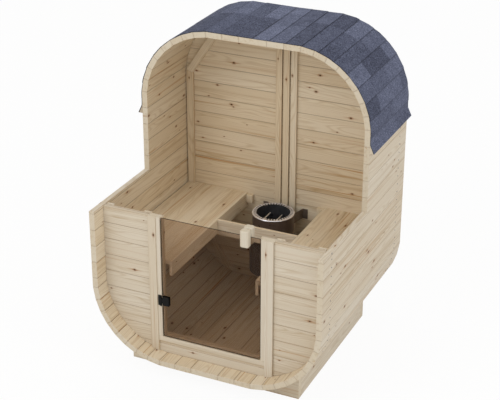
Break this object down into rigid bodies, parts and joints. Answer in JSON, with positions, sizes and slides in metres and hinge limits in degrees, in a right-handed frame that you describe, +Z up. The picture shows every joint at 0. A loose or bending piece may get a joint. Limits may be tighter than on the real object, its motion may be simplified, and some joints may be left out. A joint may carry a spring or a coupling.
{
  "type": "barrel sauna",
  "caption": "Rounded-square barrel sauna in pale spruce, shown cut away, with shingle roof, glass door, benches and a round heater.",
  "frame": {"origin": "on the ground, at the centre of the sauna's plan", "axes": "+X to the right of someone who faces the door, -Y the way the door faces, +Z up"},
  "size_m": [1.6636, 1.44, 2.1433],
  "materials": {
    "spruce": "planed",
    "handle_spruce": "sanded",
    "shingle_covering": "gritty",
    "bronze_glass": "tinted",
    "black_steel": "satin",
    "heater_brown": "satin",
    "heater_black": "matte",
    "bright_ring": "bright",
    "element_steel": "satin"
  },
  "bodies": {
    "sauna": {"floor_staves": "spruce", "lower_right_corner": "spruce", "lower_left_corner": "spruce", "roof_staves": "spruce", "upper_right_corner": "spruce", "upper_left_corner": "spruce", "left_side_lower": "spruce", "left_side_upper": "spruce", "right_side_lower": "spruce", "right_side_upper": "spruce", "drip_battens": "spruce", "front_wall_right": "spruce", "front_wall_left": "spruce", "front_wall_apron": "spruce", "door_posts": "spruce", "door_jambs": "spruce", "door_sill": "spruce", "door_stops": "spruce", "front_wall_battens": "spruce", "back_wall_right": "spruce", "back_wall_left": "spruce", "back_wall_battens": "spruce", "back_centre_battens": "spruce", "right_bench_seat": "spruce", "left_bench_seat": "spruce", "right_bench_fascia": "spruce", "left_bench_fascia": "spruce", "heater_rail": "spruce", "rail_corner_blocks": "spruce", "front_cradle": "spruce", "rear_cradle": "spruce", "right_runner": "spruce", "left_runner": "spruce", "roof_covering": "shingle_covering", "heater_jacket": "heater_brown", "heater_chamber": "heater_black", "heater_ring": "bright_ring", "heater_ring_teeth": "bright_ring", "heating_elements": "element_steel", "heater_bracket": "black_steel", "hinge_frame_leaf": "black_steel"},
    "door": {"door_glass": "bronze_glass", "door_handles": "handle_spruce", "hinge_door_leaf": "black_steel", "hinge_clamp_plate": "black_steel"}
  },
  "joints": [
    {"name": "door_hinge", "type": "hinge", "parent": "sauna", "child": "door", "pos_m": [-0.3525, -0.6243, 0.514], "axis": [0, 0, -1], "range_deg": [0, 110]}
  ]
}
